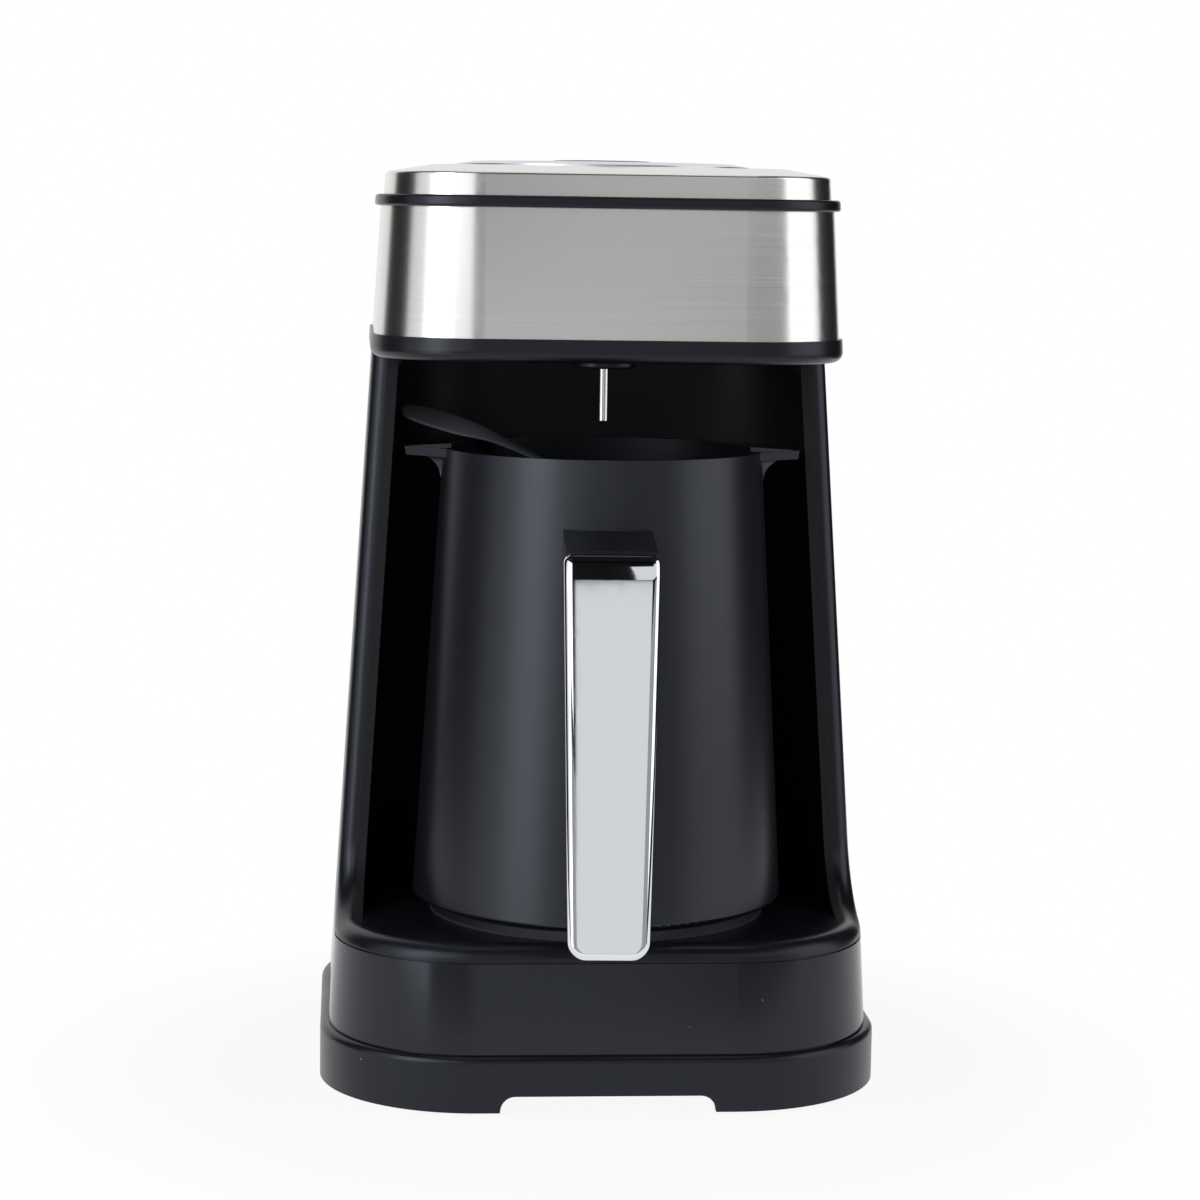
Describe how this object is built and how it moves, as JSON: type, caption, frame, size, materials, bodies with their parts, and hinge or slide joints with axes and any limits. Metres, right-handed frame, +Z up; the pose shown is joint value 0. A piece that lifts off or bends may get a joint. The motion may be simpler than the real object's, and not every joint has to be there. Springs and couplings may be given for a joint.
{
  "type": "coffee machine",
  "caption": "Tapered black electric coffee brewer: a spouted pot with a chrome-fronted handle stands on a hot plate in an open nook under a brushed steel head with a push button on top.",
  "frame": {"origin": "on the table, under the middle of the whole outline, the pot's handle included", "axes": "+X to the right seen from the front, +Y from the handle to the back of the machine, +Z up"},
  "size_m": [0.165, 0.1941, 0.2715],
  "materials": {
    "satin_black_plastic": "moulded, fine satin",
    "gloss_black_plastic": "moulded, polished",
    "trim_black_plastic": "moulded, satin",
    "brushed_stainless": "brushed along its length",
    "control_disc_steel": "turned, satin",
    "button_plastic": "moulded, satin",
    "button_lens_plastic": "clear, polished",
    "silicone_rubber": "moulded, matt",
    "inner_plastic": "moulded, unpolished",
    "screw_steel": "zinc plated",
    "circuit_board": "glass-fibre board with solder mask",
    "component_plastic": "moulded, matt",
    "connector_plastic": "moulded, matt",
    "led_resin": "clear resin",
    "probe_steel": "drawn and polished",
    "wire_insulation": "extruded sleeve",
    "harness_sleeve": "extruded sleeve",
    "cast_aluminium": "cast, dark coated top",
    "plated_steel": "pressed, zinc plated",
    "thermostat_phenolic": "pressed phenolic resin",
    "transformer_core": "varnished laminations",
    "capacitor_can": "sleeved can",
    "pot_coating": "satin non-stick coating",
    "pot_base_metal": "turned",
    "handle_plastic": "moulded, satin",
    "handle_chrome": "polished chrome plate",
    "spoon_plastic": "moulded, satin"
  },
  "bodies": {
    "machine": {"plinth": "satin_black_plastic", "body_shell": "satin_black_plastic", "left_cheek": "satin_black_plastic", "right_cheek": "satin_black_plastic", "nook_liner": "satin_black_plastic", "rear_cover": "satin_black_plastic", "sensor_pod": "satin_black_plastic", "base_band": "gloss_black_plastic", "head_bezel": "trim_black_plastic", "trim_ring": "trim_black_plastic", "head_band": "brushed_stainless", "lid": "brushed_stainless", "control_disc": "control_disc_steel", "rubber_feet": "silicone_rubber", "cord_gland": "silicone_rubber", "button_dome": "silicone_rubber", "probe_seal": "silicone_rubber", "plate_gasket": "silicone_rubber", "head_frame": "inner_plastic", "lid_liner": "inner_plastic", "harness_clips": "inner_plastic", "rear_cover_screws": "screw_steel", "plinth_screws": "screw_steel", "head_screws": "screw_steel", "control_board_screws": "screw_steel", "power_board_screws": "screw_steel", "clamp_nut": "screw_steel", "control_board": "circuit_board", "power_board": "circuit_board", "button_switch": "component_plastic", "buzzer": "component_plastic", "relay": "component_plastic", "board_connector": "connector_plastic", "terminal_block": "connector_plastic", "indicator_leds": "led_resin", "foam_probe": "probe_steel", "probe_lead": "wire_insulation", "element_leads": "wire_insulation", "harness": "harness_sleeve", "hot_plate": "cast_aluminium", "heating_element": "cast_aluminium", "element_clamp": "plated_steel", "thermal_fuse": "plated_steel", "thermostat": "thermostat_phenolic", "transformer": "transformer_core", "capacitor": "capacitor_can"},
    "button": {"start_button": "button_plastic", "button_lens": "button_lens_plastic"},
    "pot": {"pot_body": "pot_coating", "pot_base": "pot_base_metal", "handle_mount": "handle_plastic", "handle_grip": "handle_plastic", "handle_cover": "handle_chrome", "handle_screws": "screw_steel"},
    "spoon": {"measuring_spoon": "spoon_plastic"}
  },
  "joints": [
    {"name": "start_button_push", "type": "slide", "parent": "machine", "child": "button", "axis": [0, 0, -1], "range_m": [0, 0.0015], "stiffness_N_per_m": 800, "springref_m": -0.001, "deforming": ["button_dome"]},
    {"name": "pot_slide", "type": "slide", "parent": "machine", "child": "pot", "axis": [0, -1, 0], "range_m": [0, 0.13]},
    {"name": "spoon_lift", "type": "slide", "parent": "pot", "child": "spoon", "axis": [0, 0, 1], "range_m": [0, 0.012]}
  ]
}
